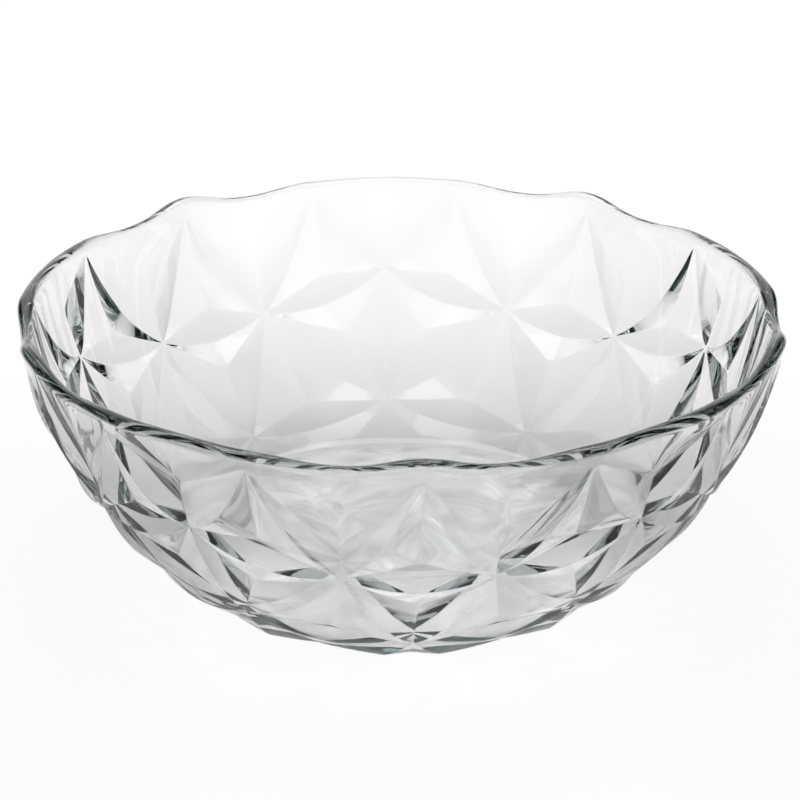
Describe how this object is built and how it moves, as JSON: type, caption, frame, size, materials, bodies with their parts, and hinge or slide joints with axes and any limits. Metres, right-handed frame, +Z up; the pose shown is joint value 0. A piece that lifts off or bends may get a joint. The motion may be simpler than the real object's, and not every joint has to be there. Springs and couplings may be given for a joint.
{
  "type": "serving bowl",
  "caption": "Round clear glass serving bowl with a smooth inside, a star lattice in relief outside and a scalloped rim, for salad or fruit.",
  "frame": {"origin": "middle of the flat underside, on the table", "axes": "+Z up along the bowl's axis, -Y toward the front, where a long star tip points up to the rim"},
  "size_m": [0.2574, 0.2583, 0.0933],
  "materials": {
    "clear_glass": "clear pressed soda-lime glass, fire-polished, with a faint grey-green tint in the thick edges"
  },
  "bodies": {
    "root": {"glass_bowl": "clear_glass"}
  },
  "joints": []
}
